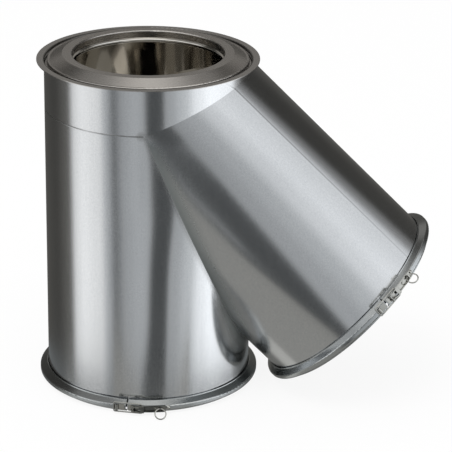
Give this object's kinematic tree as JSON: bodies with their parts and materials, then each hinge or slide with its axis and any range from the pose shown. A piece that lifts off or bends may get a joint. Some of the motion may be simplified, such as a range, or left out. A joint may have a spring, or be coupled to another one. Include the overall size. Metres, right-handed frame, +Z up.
{
  "type": "insulated flue tee",
  "caption": "Twin-wall insulated flue tee with a 45 degree branch, a raised ring socket on top and latched locking bands on the bottom and branch ends.",
  "frame": {"origin": "on the main flue's axis, in the plane of the bottom band's lower edge", "axes": "+Z up along the main flue towards the top socket, +X towards the side that the branch leaves on"},
  "size_m": [0.3449, 0.2062, 0.2982],
  "materials": {
    "casing_sheet": "bright rolled stainless sheet with faint circumferential grain",
    "liner_sheet": "polished stainless sheet",
    "end_ring_sheet": "satin pressed stainless sheet",
    "band_steel": "smooth rolled stainless strip",
    "latch_steel": "plated steel",
    "mineral_wool": "matte fibrous"
  },
  "bodies": {
    "tee": {"casing_upper": "casing_sheet", "casing_lower": "casing_sheet", "casing_branch": "casing_sheet", "liner_upper": "liner_sheet", "liner_lower": "liner_sheet", "liner_branch": "liner_sheet", "insulation_upper": "mineral_wool", "insulation_lower": "mineral_wool", "insulation_branch": "mineral_wool", "top_end_ring": "end_ring_sheet", "bottom_end_ring": "end_ring_sheet", "branch_end_ring": "end_ring_sheet", "bottom_band": "band_steel", "bottom_catch": "latch_steel", "bottom_bracket": "latch_steel", "bottom_bracket_rivet": "latch_steel", "bottom_pin": "latch_steel", "branch_band": "band_steel", "branch_catch": "latch_steel", "branch_bracket": "latch_steel", "branch_bracket_rivet": "latch_steel", "branch_pin": "latch_steel"},
    "bottom_bail": {"bottom_bail": "latch_steel"},
    "bottom_lever": {"bottom_lever": "latch_steel"},
    "bottom_ring": {"bottom_ring": "latch_steel"},
    "branch_bail": {"branch_bail": "latch_steel"},
    "branch_lever": {"branch_lever": "latch_steel"},
    "branch_ring": {"branch_ring": "latch_steel"}
  },
  "joints": [
    {"name": "bottom_lever_hinge", "type": "hinge", "parent": "tee", "child": "bottom_lever", "pos_m": [-0.01062, -0.09964, 0.0063], "axis": [0, 0, -1], "range_deg": [0, 120]},
    {"name": "bottom_bail_hinge", "type": "hinge", "parent": "bottom_lever", "child": "bottom_bail", "pos_m": [-0.00259, -0.09957, 0.0063], "axis": [0, 0, -1], "range_deg": [-132, 0]},
    {"name": "bottom_ring_swing", "type": "hinge", "parent": "bottom_lever", "child": "bottom_ring", "pos_m": [0.01331, -0.10163, 0.0075], "axis": [-0.9915, -0.1298, 0], "range_deg": [-50, 135]},
    {"name": "branch_lever_hinge", "type": "hinge", "parent": "tee", "child": "branch_lever", "pos_m": [0.21097, -0.08813, 0.10794], "axis": [0.7071, 0, -0.7071], "range_deg": [0, 120]},
    {"name": "branch_bail_hinge", "type": "hinge", "parent": "branch_lever", "child": "branch_bail", "pos_m": [0.21562, -0.08352, 0.11259], "axis": [0.7071, 0, -0.7071], "range_deg": [-132, 0]},
    {"name": "branch_ring_swing", "type": "hinge", "parent": "branch_lever", "child": "branch_ring", "pos_m": [0.22487, -0.07622, 0.12353], "axis": [-0.5258, -0.6686, -0.5258], "range_deg": [-50, 135]}
  ],
  "couplings": [
    {"joint": "bottom_bail_hinge", "follows": "bottom_lever_hinge", "ratio": -1.1},
    {"joint": "branch_bail_hinge", "follows": "branch_lever_hinge", "ratio": -1.1}
  ]
}
